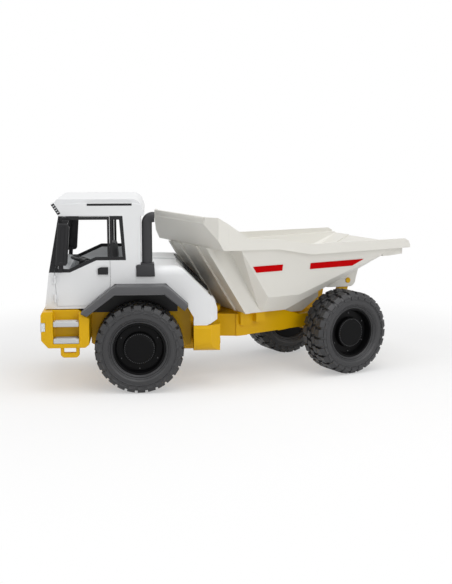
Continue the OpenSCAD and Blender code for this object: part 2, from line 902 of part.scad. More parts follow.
// The pierced plate on the slope behind the cab, with rows of square holes
module engine_grille() {
    sunk = grille_t + grille_drop;
    run = [-deck_end - 3, deck_top - 3] - slope_foot;
    long = norm(run);
    lean = atan2(run[1], run[0]);
    margin = 4;
    rows = floor((long - 2 * margin) / hole_pitch);
    color(black)
        front_unit()
            translate([slope_foot[0], 0, slope_foot[1] - sunk])
                rotate([0, -lean, 0])
                    difference() {
                        translate([0, 0, seat_gap])
                            linear_extrude(grille_t)
                                polygon([[2, -cover_foot_half], [long - 2, -cover_head_half + 1],
                                    [long - 2, cover_head_half - 1], [2, cover_foot_half]]);
                        for (row = [0 : rows - 1]) {
                            spread = (cover_head_half - cover_foot_half) * row / rows;
                            reach = floor((cover_foot_half + spread - margin) / hole_pitch);
                            for (i = [-reach : reach])
                                translate([margin + row * hole_pitch, i * hole_pitch - hole / 2, hole_floor])
                                    cube([hole, hole, grille_t]);
                        }
                    }
}

module air_stack() {
    bend = 7;
    outlet_z = stack_top - stack_d / 2;
    color(dark_grey)
        front_unit() {
            translate([stack_x - 8, cab_half - 15, deck_top + 1 - shoulder])
                stack_base(15);
            translate([stack_x, stack_y, 0])
                difference() {
                    union() {
                        translate([0, 0, stack_base_top])
                            cylinder(d = stack_d, h = outlet_z - bend - stack_base_top);
                        translate([-bend, 0, outlet_z - bend])
                            rotate([90, 0, 0])
                                rotate_extrude(angle = 90)
                                    translate([bend, 0])
                                        circle(d = stack_d);
                        translate([-bend - 2, 0, outlet_z])
                            rotate([0, 90, 0])
                                cylinder(d = stack_d, h = 2);
                    }
                    translate([-bend - 2 - cut, 0, outlet_z])
                        rotate([0, 90, 0])
                            cylinder(d = stack_d - 3, h = 5);
                }
        }
}

// The box at the stack's foot, seated on the deck's rounded shoulder
module stack_base(l) {
    h = stack_base_top - deck_top - 1 + shoulder;
    difference() {
        cube([l, 17, h]);
        lengthwise(-cut, l + cut)
            polygon(concat([[-cut, -cut], [15 + seat_gap, -cut]],
                arc([15 - shoulder, 0], shoulder + seat_gap, 0, 90), [[-cut, shoulder + seat_gap]]));
    }
}

module fenders() {
    color(dark_grey)
        front_unit()
            both_sides()
                across(fender_in, fender_half)
                    polygon([fender_front,
                        at_run(fender_front, fender_knee_front, fender_knee_front[0] + knee_cut),
                        fender_knee_front - [knee_cut, 0], fender_knee_rear + [knee_cut, 0],
                        at_run(fender_rear, fender_knee_rear, fender_knee_rear[0] - knee_cut), fender_rear,
                        fender_rear + [5, -6], fender_knee_rear + [3, -fender_t],
                        fender_knee_front + [1, -fender_t], fender_front + [-7, -3]]);
}

module side_tanks() {
    tail = tank_front - tank_l;
    color(yellow)
        front_unit()
            both_sides()
                intersection() {
                    lengthwise(tail, tank_front)
                        polygon(concat([[tank_in, plate_low - seat_gap], [tank_in, tank_low]],
                            arc([tank_out - tank_r, tank_low + tank_r], tank_r, -90, 0),
                            [[tank_out, plate_low - 4], [tank_out - 2, plate_low - seat_gap]]));
                    linear_extrude(plate_low)
                        polygon([[tank_front, tank_in], [tank_front, tank_out], [slope_foot[0], tank_out],
                            [tail, tank_out + tail - slope_foot[0]], [tail, tank_in]]);
                }
}

// Doors, drawn for the left side

module door_slab() {
    across(cab_half - wall, cab_half)
        door_zone(door_gap);
}

module door_panel() {
    difference() {
        door_slab();
        across(cab_half - wall - cut, cab_half + cut)
            window_zone();
    }
    difference() {
        for (z = hinge_heights)
            door_leaf(z);
        translate([door_axis[0], door_axis[1], 0])
            cylinder(r = door_pin_r + fit, h = roof_top);
    }
}

// A hinge's moving leaf on the door, with its knuckle on the door's axis
module door_leaf(z) {
    translate([door_axis[0], door_axis[1], z - knuckle_h / 2])
        cylinder(r = knuckle_r, h = knuckle_h);
    translate([door_axis[0] - leaf_l, cab_half - wall / 2, z - knuckle_h / 2])
        cube([leaf_l / 2, wall / 2 + leaf_t, knuckle_h]);
    translate([door_axis[0] - leaf_l, cab_half + seat_gap, z - knuckle_h / 2])
        cube([leaf_l, leaf_t - seat_gap, knuckle_h]);
}

// A hinge's fixed leaf on the cab, with a knuckle above and below the door's and the pin through all three
module cab_leaf(z) {
    translate([door_axis[0], door_axis[1], z - knuckle_h * 1.5 - knuckle_gap])
        cylinder(r = door_pin_r, h = 3 * knuckle_h + 2 * knuckle_gap);
    for (low = [z - knuckle_h * 1.5 - knuckle_gap, z + knuckle_h / 2 + knuckle_gap]) {
        translate([door_axis[0], door_axis[1], low])
            cylinder(r = knuckle_r, h = knuckle_h);
        translate([door_axis[0], cab_half - wall / 2, low])
            cube([leaf_l, wall / 2 + leaf_t, knuckle_h]);
    }
}

module door_frame() {
    difference() {
        intersection() {
            door_slab();
            across(cab_half - wall, cab_half)
                window_zone();
        }
        across(cab_half - wall - cut, cab_half + cut)
            door_opening();
    }
}

module door_handle() {
    foot = [door_back + 2.5, sill_rear - 16.5];
    size = [12, 8.5];
    across(cab_half, cab_half + 2.5)
        polygon([foot, foot + [0, size[1]], foot + size - [3.5, 0], foot + size - [0, 1.5],
            foot + [size[0], 0]]);
}

// The folded mirror's housing and its two arms
module mirror_body() {
    front = screen_foot[0] - 8.5;
    low = sill_front + 9;
    top = roof_low - 7;
    w = 13;
    lean = 4;
    arm_out = 8;
    across(cab_half + 5, cab_half + 11)
        polygon([[front, low + 2], [front - 2, low], [front - w + 1, low + 1], [front - w - 1, low + 3],
            [front - w - lean, top - 5], [front - w - lean + 2, top - 2], [front - lean - 2, top],
            [front - lean, top - 2]]);
    across(cab_half, cab_half + arm_out)
        polygon([[front - w - lean, top + 2.8], [front - w + lean, top + 2.8], [front - 8, top - 5],
            [front - w, top - 5]]);
    across(cab_half, cab_half + arm_out)
        polygon([[front - 8, sill_front + 1], [front - 3, sill_front + 1], [front - 4, low + 4],
            [front - 9, low + 4]]);
}

// Rear unit: frame, pins and bed

module rear_frame() {
    boss_low = hinge_ear_tops[0] + boss_gap;
    boss_top = hinge_ear_tops[1] - hinge_ear_t - boss_gap;
    color(yellow)
        rear_unit()
            difference() {
                union() {
                    translate([hinge_x, 0, boss_low])
                        cylinder(r = boss_r, h = boss_top - boss_low);
                    translate([0, 0, frame_low])
                        linear_extrude(frame_top - frame_low)
                            polygon([[hinge_x, -boss_r], [hinge_x, boss_r], [neck_back + 13, frame_half],
                                [neck_back, frame_half], [neck_back, -frame_half],
                                [neck_back + 13, -frame_half]]);
                    both_sides()
                        across(frame_half - frame_t, frame_half)
                            frame_rail();
                    across(-frame_half, frame_half)
                        polygon([[tie_x - 12, frame_low + 3], [tie_x - 8, frame_low + 14],
                            [tie_x + 6, frame_low + 14], [tie_x + 12, frame_low + 1]]);
                    across(-frame_half - 4, frame_half + 4)
                        polygon([[rest_x, bed_rest], [rest_x, frame_low + 15], [rest_x - 3, frame_low + 13],
                            [rest_x - 13, frame_low + 13], [rest_x - 20, frame_low + 18],
                            [rest_x - 20, bed_rest]]);
                    translate([rest_x - 31, -frame_half - 12, frame_low + 18])
                        cube([13, 2 * frame_half + 24, bed_rest - frame_low - 18]);
                    axle_housing(rear_axle_x);
                    translate([rear_axle_x - 8, -frame_half, axle_z - 8])
                        cube([16, 2 * frame_half, 22]);
                }
                shaft_bore(rear_axle_x);
                translate([hinge_x, 0, 0])
                    cylinder(d = hinge_pin_d + 2 * fit, h = deck_top);
                translate([tip_pin[0], 0, tip_pin[1]])
                    rotate([90, 0, 0])
                        cylinder(d = tip_pin_d + 2 * fit, h = 2 * frame_half + 2, center = true);
            }
}

// One rail in side view: low behind the hinge, over the axle, and up to the tipping pin
module frame_rail() {
    polygon(concat([[hinge_x - 24, frame_low], [hinge_x - 24, frame_top], [tie_x + 6, frame_top],
        [rear_axle_x + 40, frame_top - 9], [rear_axle_x + 6, frame_top - 6],
        [rear_axle_x - 16, frame_top + 6]], arc(tip_pin, ear_r - 2, -20, 215),
        [[rear_axle_x - 28, axle_z + 8], [rear_axle_x - 12, axle_z - 10], [rear_axle_x + 12, axle_z - 10],
        [rear_axle_x + 36, frame_low + 3]]));
}

module tipping_pin() {
    color(yellow)
        rear_unit()
            translate([tip_pin[0], 0, tip_pin[1]])
                rotate([90, 0, 0])
                    cylinder(d = tip_pin_d, h = 2 * (ear_in + ear_t + 1.5), center = true);
}

// Half width of the flared side panel's outer face at height z
function panel_half(z) =
    bulge_half + (z - panel_low) * (bulge_top_half - bulge_half) / (bulge_head[1] - panel_low);

// One plate of the trough's left half at half width y, a thin slab for a hull
module slab(y, outline) {
    across(y - slab_t, y)
        polygon(outline);
}

// The flared trough as a solid, with flat panels between its true edges
module trough_outside() {
    head = bulge_head[1];
    hull()
        both_sides() {
            slab(keel_half, [bulge_foot, [bulge_foot[0], rim_top], [keel_bend, rim_top],
                [keel_bend, bed_low], [bulge_foot[0] - 4, bed_low]]);
            slab(bulge_half, [[bulge_foot[0] - 2, panel_low], [keel_bend - 9, panel_low],
                [keel_bend, rim_top]]);
            slab(keel_tail_half, [keel_tail, [tail_x + 4, rim_top - rim_h], [keel_tail[0], rim_top]]);
            slab(panel_half(panel_tail[1]), [panel_tail, panel_tail + [-1, 6], panel_tail + [3, 6]]);
            slab(bulge_top_half, [bulge_head, [bulge_head[0], rim_top], [tail_x, rim_top], [tail_x, head],
                [keel_bend, head]]);
        }
}

// The space inside the trough, open above and at the tail
module trough_inside() {
    tail = tail_x - 6;
    open_top = lip_top + 2;
    hull()
        both_sides() {
            slab(keel_half - bed_wall, [bulge_foot + [-bed_wall, 0], [bulge_foot[0] - bed_wall, open_top],
                [keel_bend, open_top], [keel_bend - 1, floor_top], [bulge_foot[0] - bed_wall, floor_top]]);
            slab(bulge_half - bed_wall, [[bulge_foot[0] - 2 - bed_wall, panel_low + 2],
                [keel_bend - 9, panel_low + 2], [keel_bend, open_top]]);
            slab(bulge_top_half - bed_wall, [bulge_head - [bed_wall, 0],
                [bulge_head[0] - bed_wall, open_top], [tail, open_top], [tail, floor_tail[1] + 1.5]]);
            slab(keel_tail_half - 10, [floor_tail, [tail, open_top], [tail, floor_tail[1]]]);
        }
}

// The narrow front wall, keel, beam and tail plate as solids, and the space inside them
module keel_outside() {
    across(-keel_half, keel_half)
        polygon([wall_head, wall_foot, [keel_bend, bed_low], keel_tail, [tail_x + 4, rim_top - rim_h],
            [tail_x + 4, rim_top]]);
    across(-tail_plate_half, tail_plate_half)
        polygon([keel_tail, keel_tail + [-22, 1.5], [keel_tail[0] - 22, rim_top - rim_h + 2],
            [keel_tail[0] + 10, rim_top - rim_h + 2], keel_tail + [10, 0]]);
    across(-beam_half, beam_half)
        polygon([[beam_front, bed_low + cut], [beam_front - 7, bed_low - 8], [beam_back + 26, bed_low - 10],
            [beam_back, bed_low + 7], at_run([keel_bend, bed_low], keel_tail, beam_back) + [0, 2],
            [keel_bend, bed_low + 2]]);
}

module keel_inside() {
    open_top = lip_top + 2;
    across(-keel_half + bed_wall, keel_half - bed_wall)
        polygon([[wall_head[0] - bed_wall * 1.2, open_top], wall_head - [bed_wall * 1.2, 0],
            wall_foot + [-bed_wall * 0.6, bed_wall], [keel_bend - 1, floor_top], floor_tail,
            [floor_tail[0], open_top]]);
}

// The rim band and canopy in side view
module rim_profile() {
    polygon([[lip_x, lip_top], [lip_x + 1.5, lip_top - lip_h], [wall_head[0] - 2, hood_low],
        [hump_back, hump_top - rim_h], [hump_foot, rim_top - rim_h], [tail_x + 16, rim_top - rim_h],
        [tail_x, rim_top - rim_h], [tail_x, rim_top - 9], [tail_x + 3, rim_top - 3], [tail_x + 9, rim_top],
        [hump_foot, rim_top + 1], [hump_back, hump_top], [slope_back, hump_top + 2], [crest_x, lip_top]]);
}

// The rim band and canopy in plan, drawn in by t
module rim_plan(t) {
    polygon([[lip_x + 2 - t, lip_half - t * 0.5], [crest_x, rim_half - 4 - t], [crest_x - 12, rim_half - t],
        [tail_x - (t > 0 ? 20 : 0), rim_half - t], [tail_x - (t > 0 ? 20 : 0), -rim_half + t],
        [crest_x - 12, -rim_half + t], [crest_x, -rim_half + 4 + t], [lip_x + 2 - t, -lip_half + t * 0.5]]);
}

// The space inside the canopy, above the front wall's head
module hood_space() {
    intersection() {
        across(-rim_half, rim_half)
            polygon([[lip_x - bed_wall, lip_top + cut], [lip_x - bed_wall + 1, lip_top - lip_h + 1],
                wall_head + [-bed_wall - 3, 6], [hump_back, hump_top - rim_h + 4],
                [hump_foot, rim_top - rim_h + 4],
                [tail_x + 10, rim_top - 5.5], [tail_x - 5, rim_top - 5.5], [tail_x - 5, rim_top + 4],
                [hinge_x - 15, lip_top + cut]]);
        linear_extrude(lip_top + 2)
            rim_plan(bed_wall);
    }
}

// The hinge ears under the tail, seated against the keel
module bed_ears() {
    front = at_run([keel_bend, bed_low], keel_tail, tip_pin[0] + 40);
    rear = at_run([keel_bend, bed_low], keel_tail, tip_pin[0] - 21);
    color(white)
        rear_unit()
            both_sides()
                difference() {
                    across(ear_in, ear_in + ear_t)
                        polygon(concat([front], [[tip_pin[0] + 32, tip_pin[1] - 7]],
                            arc(tip_pin + [-4, 0.5], ear_r, -90, -180), [rear]));
                    translate([tip_pin[0], 0, tip_pin[1]])
                        rotate([90, 0, 0])
                            cylinder(d = tip_pin_d + 2 * fit, h = 2 * rim_half, center = true);
                }
}

module bed_shell() {
    color(white)
        rear_unit()
            difference() {
                union() {
                    keel_outside();
                    trough_outside();
                    intersection() {
                        across(-rim_half, rim_half)
                            rim_profile();
                        linear_extrude(lip_top + 2)
                            rim_plan(0);
                    }
                    for (y = ribs)
                        across(y - rib_half, y + rib_half)
                            polygon([wall_head + [rib_proud, 0], wall_head - [4, 0], wall_foot - [4, 0],
                                wall_foot + [rib_proud, 0]]);
                }
                keel_inside();
                trough_inside();
                hood_space();
            }
}

module bed_stripes() {
    color(red)
        rear_unit()
            both_sides()
                stripe_pair();
}

// Two bars on one side panel, with a bare stretch between them
module stripe_pair() {
    lean = atan2(bulge_top_half - bulge_half, bulge_head[1] - panel_low);
    // Columns: front end above, front end below, back end above, back end below, height of the foot
    bars = [[hinge_x - 20, hinge_x - 26, hinge_x - 63, hinge_x - 63, 34],
        [rear_axle_x + 56, rear_axle_x + 56, rear_axle_x - 26, rear_axle_x - 9, 33]];
    translate([0, bulge_half, panel_low])
        rotate([90 - lean, 0, 0])
            mirror([0, 0, 1])
                linear_extrude(stripe_t)
                    for (b = bars)
                        polygon([[b[0], b[4] + stripe_h], [b[2], b[4] + stripe_h], [b[3], b[4]],
                            [b[1], b[4]]]);
}

// Wheels and axles in their places

module front_axle() {
    front_unit()
        axle_shaft(0);
}

module rear_axle() {
    rear_unit()
        axle_shaft(rear_axle_x);
}

module tyre_front_left() {
    color(rubber)
        front_unit()
            tyre_place(0, 1);
}

module rim_front_left() {
    color(black)
        front_unit()
            wheel_place(0, 1)
                rim_body();
}

module tyre_front_right() {
    color(rubber)
        front_unit()
            tyre_place(0, -1);
}

module rim_front_right() {
    color(black)
        front_unit()
            wheel_place(0, -1)
                rim_body();
}

module tyre_rear_left() {
    color(rubber)
        rear_unit()
            tyre_place(rear_axle_x, 1);
}

module rim_rear_left() {
    color(black)
        rear_unit()
            wheel_place(rear_axle_x, 1)
                rim_body();
}

module tyre_rear_right() {
    color(rubber)
        rear_unit()
            tyre_place(rear_axle_x, -1);
}

module rim_rear_right() {
    color(black)
        rear_unit()
            wheel_place(rear_axle_x, -1)
                rim_body();
}

// Doors in their places

module door_left_panel() {
    color(white)
        front_unit()
            on_side(1)
                door_panel();
}

module door_left_frame() {
    color(black)
        front_unit()
            on_side(1)
                door_frame();
}

module door_left_handle() {
    color(black)
        front_unit()
            on_side(1)
                door_handle();
}

module mirror_left() {
    color(black)
        front_unit()
            on_side(1)
                mirror_body();
}

module door_right_panel() {
    color(white)
        front_unit()
            on_side(-1)
                door_panel();
}

module door_right_frame() {
    color(black)
        front_unit()
            on_side(-1)
                door_frame();
}

module door_right_handle() {
    color(black)
        front_unit()
            on_side(-1)
                door_handle();
}

module mirror_right() {
    color(black)
        front_unit()
            on_side(-1)
                mirror_body();
}

// The nodes

front_chassis();
front_axle();
articulation_pin();
bumper();
steps();
headlamps();
cab_shell();
cab_roof();
roof_trim();
visor_band();
roof_lamps();
window_frame();
windscreen();
cab_interior();
seat();
steering_wheel();
engine_cover();
engine_grille();
air_stack();
fenders();
side_tanks();
door_left_panel();
door_left_frame();
door_left_handle();
mirror_left();
door_right_panel();
door_right_frame();
door_right_handle();
mirror_right();
rear_frame();
rear_axle();
tipping_pin();
bed_shell();
bed_ears();
bed_stripes();
tyre_front_left();
rim_front_left();
tyre_front_right();
rim_front_right();
tyre_rear_left();
rim_rear_left();
tyre_rear_right();
rim_rear_right();
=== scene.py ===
"""Toy articulated dump truck: moulded finishes, tread, studs and a plain studio.

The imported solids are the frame. This add-on gives every solid its finish, softens the
moulded edges, adds the small forms that a toy maker would engrave in the tool, and sets
the stage. Lengths are metres in the frame's own axes, and MM turns millimetres into them.
"""
import json
import math

import bpy
from bpy.props import FloatProperty, IntProperty, PointerProperty, StringProperty
from mathutils import Matrix, Vector


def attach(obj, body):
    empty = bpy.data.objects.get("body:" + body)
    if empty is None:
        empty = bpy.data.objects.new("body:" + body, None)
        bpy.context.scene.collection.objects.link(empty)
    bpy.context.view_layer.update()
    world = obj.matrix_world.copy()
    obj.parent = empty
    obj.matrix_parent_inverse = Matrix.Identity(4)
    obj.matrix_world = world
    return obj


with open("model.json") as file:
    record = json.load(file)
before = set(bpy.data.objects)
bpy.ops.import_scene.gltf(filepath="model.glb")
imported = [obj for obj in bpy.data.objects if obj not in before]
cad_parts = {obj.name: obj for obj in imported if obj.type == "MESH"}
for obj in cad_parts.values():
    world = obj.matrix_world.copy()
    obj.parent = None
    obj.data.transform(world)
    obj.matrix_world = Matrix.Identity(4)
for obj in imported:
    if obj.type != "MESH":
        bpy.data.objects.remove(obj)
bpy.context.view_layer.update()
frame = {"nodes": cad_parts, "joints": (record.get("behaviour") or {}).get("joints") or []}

bl_info = {
    "name": "Toy dump truck finisher",
    "version": (1, 0, 0),
    "blender": (4, 5, 0),
    "location": "View3D > Sidebar > Truck",
    "description": "Finishes a toy articulated dump truck and sets it in a plain studio",
    "category": "Object",
}

NODES = frame["nodes"]
JOINTS = {joint["name"]: joint for joint in frame["joints"]}
WHEELS = ("front_left", "front_right", "rear_left", "rear_right")
MM = 0.001
MERGE = 0.00001              # Points nearer than this are one
QUARTER = math.radians(90)
FACING = 0.9                 # Least part of a normal along an axis for a face to count as facing it
CREASE_DEG = 35              # Sharpest bend that is shaded smooth on a small flat-sided piece
ROUND_DEG = 60               # The same on a piece with round sections
WHITE = (1, 1, 1, 1)


# Settings that a user would change

class TruckColours(bpy.types.PropertyGroup):
    """Colours of the truck's plastics, as sRGB hex values."""
    cab: StringProperty(name="Cab", description="White of the cab and engine", default="#E2E3E4")
    bed: StringProperty(name="Bed", description="Warmer white of the dump bed", default="#DCDAD3")
    chassis: StringProperty(name="Chassis", description="Yellow of the frames", default="#D8A800")
    fender: StringProperty(name="Fender", description="Graphite of the fenders", default="#545456")
    stack: StringProperty(name="Stack", description="Charcoal of the stack", default="#343436")
    trim: StringProperty(name="Trim", description="Black of the window frames", default="#1E1E20")
    tyre: StringProperty(name="Tyre", description="Soft black of the tyres", default="#2C2C2E")
    rim: StringProperty(name="Rim", description="Deep black of the rims", default="#0B0B0C")
    step: StringProperty(name="Step", description="Silver of the steps", default="#C4C6C8")
    inside: StringProperty(name="Inside", description="Pale grey inside the cab", default="#DDE0E2")
    stripe: StringProperty(name="Stripe", description="Red of the printed bars", default="#BE0004")


class TruckWheels(bpy.types.PropertyGroup):
    """Numbers and sizes of the tread blocks, beads, studs and bolts, in wheel space."""
    blocks: IntProperty(name="Blocks", description="Blocks in a row", default=26, min=12, max=40)
    block_long: FloatProperty(name="Block length", description="Length of a block round the tyre",
                              default=9.0 * MM, unit="LENGTH")
    block_wide: FloatProperty(name="Block width", description="Width of a block across the tyre",
                              default=6.8 * MM, unit="LENGTH")
    block_slant: FloatProperty(name="Block slant", description="Turn of a block on the tread",
                               default=math.radians(14), subtype="ANGLE")
    tread_root: FloatProperty(name="Tread root", description="Radius at the foot of the tread",
                              default=49.6 * MM, unit="LENGTH")
    tread_top: FloatProperty(name="Tread top", description="Radius at the top of the centre blocks",
                             default=52.2 * MM, unit="LENGTH")
    bead_steps: IntProperty(name="Bead steps", description="Steps round a sidewall bead",
                            default=72, min=24, max=144)
    studs: IntProperty(name="Studs", description="Studs round the hub", default=48, min=12, max=60)
    stud_ring: FloatProperty(name="Stud ring", description="Radius of the hub's ring of studs",
                             default=17.3 * MM, unit="LENGTH")
    bolts: IntProperty(name="Bolts", description="Bolts on the rim", default=6, min=3, max=12)
    bolt_ring: FloatProperty(name="Bolt ring", description="Radius of the ring of bolts",
                             default=24.6 * MM, unit="LENGTH")


class TruckStage(bpy.types.PropertyGroup):
    """Camera and light."""
    lens: FloatProperty(name="Lens", description="Focal length on a 36 mm sensor, in millimetres",
                        default=63.43)
    key: FloatProperty(name="Key light", description="Power of the overhead softbox",
                       default=8.6, unit="POWER")
    fill: FloatProperty(name="Fill light", description="Power of the softbox beside the camera",
                        default=8.0, unit="POWER")
    front: FloatProperty(name="Front light", description="Power of the softbox ahead of the truck",
                         default=4.0, unit="POWER")
    sky: FloatProperty(name="Room light", description="Strength of the even light", default=0.48)


# Helpers for materials

def linear(hex_colour):
    """An sRGB hex value as a linear RGBA tuple."""
    parts = [int(hex_colour[i:i + 2], 16) / 255 for i in (1, 3, 5)]
    return tuple(c / 12.92 if c <= 0.04045 else ((c + 0.055) / 1.055) ** 2.4
                 for c in parts) + (1.0,)


def scaled(colour, factor):
    """A linear colour made darker or lighter."""
    return tuple(min(1.0, c * factor) for c in colour[:3]) + (1.0,)


def add_node(tree, kind, inputs=None, links=None, **settings):
    """Adds a node, sets its settings and input values, and links inputs from (node, output)."""
    made = tree.nodes.new(kind)
    for key, value in settings.items():
        setattr(made, key, value)
    for key, value in (inputs or {}).items():
        made.inputs[key].default_value = value
    for key, (source, output) in (links or {}).items():
        tree.links.new(source.outputs[output], made.inputs[key])
    return made


def blank_material(name):
    """A new material, its empty node tree and the object coordinates that its patterns use."""
    made = bpy.data.materials.new(name)
    made.use_nodes = True
    tree = made.node_tree
    tree.nodes.clear()
    return made, tree, {"Vector": (add_node(tree, "ShaderNodeTexCoord"), "Object")}


def principled(tree, inputs, links):
    """Adds the surface's shader and the material's output."""
    shader = add_node(tree, "ShaderNodeBsdfPrincipled", inputs, links)
    add_node(tree, "ShaderNodeOutputMaterial", links={"Surface": (shader, "BSDF")})


def seen_by_eye(tree):
    """A node that is 1 for what the eye sees: straight, reflected or through a clear piece."""
    path = add_node(tree, "ShaderNodeLightPath")
    seen = add_node(tree, "ShaderNodeMath", operation="MAXIMUM",
                    links={0: (path, "Is Camera Ray"), 1: (path, "Is Glossy Ray")})
    return add_node(tree, "ShaderNodeMath", operation="MAXIMUM",
                    links={0: (seen, "Value"), 1: (path, "Is Transmission Ray")})


def moulded_plastic(name, colour, roughness, grain_mm, bump, mottle, specular):
    """Injection-moulded plastic: an even colour, faintly mottled, with the tool's fine peel."""
    clouds_per_m, gloss_spread, peel_depth = 33.0, 0.14, 0.15 * MM
    made, tree, place = blank_material(name)
    # Slow mottling, about 30 mm across, as pigment settles in the melt
    cloud = add_node(tree, "ShaderNodeTexNoise",
                     {"Scale": clouds_per_m, "Detail": 3.0, "Roughness": 0.55}, place)
    base = linear(colour)
    tint = add_node(tree, "ShaderNodeMix",
                    {"A": scaled(base, 1 - mottle), "B": scaled(base, 1 + mottle)},
                    {"Factor": (cloud, "Fac")}, data_type="RGBA")
    # Tool grain: a cell is grain_mm across
    grain = add_node(tree, "ShaderNodeTexNoise",
                     {"Scale": 1 / MM / grain_mm, "Detail": 2.0, "Roughness": 0.5}, place)
    gloss = add_node(tree, "ShaderNodeMapRange",
                     {"From Min": 0.3, "From Max": 0.7, "To Min": roughness * (1 - gloss_spread),
                      "To Max": roughness * (1 + gloss_spread)}, {"Value": (cloud, "Fac")})
    relief = add_node(tree, "ShaderNodeBump", {"Strength": bump, "Distance": peel_depth},
                      {"Height": (grain, "Fac")})
    principled(tree, {"IOR": 1.53, "Specular IOR Level": specular},
               {"Base Color": (tint, "Result"), "Roughness": (gloss, "Result"),
                "Normal": (relief, "Normal")})
    return made


# Helpers for meshes

def clear_selection():
    """Leaves edit mode and deselects all."""
    if bpy.context.object and bpy.context.object.mode != "OBJECT":
        bpy.ops.object.mode_set(mode="OBJECT")
    bpy.ops.object.select_all(action="DESELECT")


def only(obj):
    """Makes obj the one selected and active object."""
    clear_selection()
    obj.select_set(True)
    bpy.context.view_layer.objects.active = obj


def start(name):
    """Names the primitive that was just added, applies its place to its mesh and returns it."""
    obj = bpy.context.object
    obj.name = name
    obj.data.name = name
    only(obj)
    bpy.ops.object.transform_apply(location=True, rotation=True, scale=True)
    return obj


def start_or_join(name):
    """Starts a piece from its first primitive and opens it, so that the next ones join it."""
    if bpy.context.object.mode == "OBJECT":
        start(name)
        bpy.ops.object.mode_set(mode="EDIT")
    return bpy.context.object


def add_cube(place, size, turn=(0, 0, 0)):
    """Adds a block by its middle, its size and its turn."""
    bpy.ops.mesh.primitive_cube_add(size=1, location=place, rotation=turn, scale=size)


def add_block(low, high):
    """Adds a block between two corners, in millimetres."""
    add_cube([(a + b) / 2 * MM for a, b in zip(low, high)],
             [(b - a) * MM for a, b in zip(low, high)])


def new_block(name, low, high):
    """Starts a piece from a block between two corners, in millimetres."""
    clear_selection()
    add_block(low, high)
    return start(name)


def pick_faces(obj, test):
    """Selects the faces whose normal passes the test, and leaves obj in face edit mode."""
    only(obj)
    bpy.ops.object.mode_set(mode="EDIT")
    bpy.ops.mesh.select_mode(type="FACE")
    bpy.ops.mesh.select_all(action="DESELECT")
    bpy.ops.object.mode_set(mode="OBJECT")
    for face in obj.data.polygons:
        face.select = test(face.normal)
    bpy.ops.object.mode_set(mode="EDIT")


def ring_of(obj, count):
    """Copies all of obj's mesh round the wheel's axle until there are count of it."""
    only(obj)
    bpy.ops.object.mode_set(mode="EDIT")
    bpy.ops.mesh.select_all(action="SELECT")
    bpy.ops.mesh.spin(steps=count - 1, dupli=True, angle=2 * math.pi * (count - 1) / count,
                      center=(0, 0, 0), axis=(0, 1, 0))
    bpy.ops.mesh.select_all(action="SELECT")
    bpy.ops.mesh.normals_make_consistent(inside=False)
    bpy.ops.object.mode_set(mode="OBJECT")


def outward(obj):
    """Merges doubles and turns all faces outwards."""
    only(obj)
    bpy.ops.object.mode_set(mode="EDIT")
    bpy.ops.mesh.select_all(action="SELECT")
    bpy.ops.mesh.remove_doubles(threshold=MERGE)
    bpy.ops.mesh.normals_make_consistent(inside=False)
    bpy.ops.object.mode_set(mode="OBJECT")


def both_sides(obj):
    """Mirrors a piece's mesh to the truck's other side."""
    only(obj)
    twin = obj.modifiers.new("Other side", "MIRROR")
    twin.use_axis = (False, True, False)
    twin.use_mirror_merge = False
    bpy.ops.object.modifier_apply(modifier=twin.name)
    outward(obj)


def round_edges(obj, width, segments=2):
    """Rounds a piece's sharp edges."""
    only(obj)
    bevel = obj.modifiers.new("Round", "BEVEL")
    bevel.width = width
    bevel.segments = segments
    bevel.limit_method = "ANGLE"
    bevel.angle_limit = math.radians(30)
    bpy.ops.object.modifier_apply(modifier=bevel.name)


def copy_of(obj):
    """A copy of a piece, with a mesh of its own."""
    only(obj)
    bpy.ops.object.duplicate()
    return bpy.context.object


def finish_piece(obj, material, body, matrix, smooth=CREASE_DEG):
    """Gives a piece its place, its material, its smoothing and the body it rides on."""
    only(obj)
    obj.matrix_world = matrix
    bpy.ops.object.transform_apply(location=True, rotation=True, scale=True)
    bpy.ops.object.shade_smooth_by_angle(angle=math.radians(smooth))
    obj.data.materials.clear()
    obj.data.materials.append(material)
    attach(obj, body)


def unit_matrix(end):
    """From a unit's own space, on the floor below its axle with the nose along +X, to the frame."""
    left, right = (Vector(JOINTS["spin_%s_%s" % (end, side)]["pos_m"])
                   for side in ("left", "right"))
    across = left - right
    middle = (left + right) / 2
    turn = math.atan2(-across.x, across.y)
    return Matrix.Translation((middle.x, middle.y, 0)) @ Matrix.Rotation(turn, 4, "Z")


def wheel_matrix(wheel):
    """From wheel space, with the axle along +Y and the dish facing +Y, to a wheel's own place."""
    joint = JOINTS["spin_" + wheel]
    along = Vector(joint["axis"])
    if wheel.endswith("right"):
        along = -along
    turn = math.atan2(-along.x, along.y)
    return Matrix.Translation(Vector(joint["pos_m"])) @ Matrix.Rotation(turn, 4, "Z")


# Operators, one for each group of pieces

class TRUCK_OT_finish_solids(bpy.types.Operator):
    """Gives every solid its finish and a moulded edge"""
    bl_idname = "truck.finish_solids"
    bl_label = "Finish solids"

    def execute(self, context):
        finishes = plastics(context.scene.truck_colours)
        for name, obj in NODES.items():
            obj.data.materials.clear()
            obj.data.materials.append(finishes[finish_of(name)])
            soften(obj, edge_radius(name))
        return {"FINISHED"}


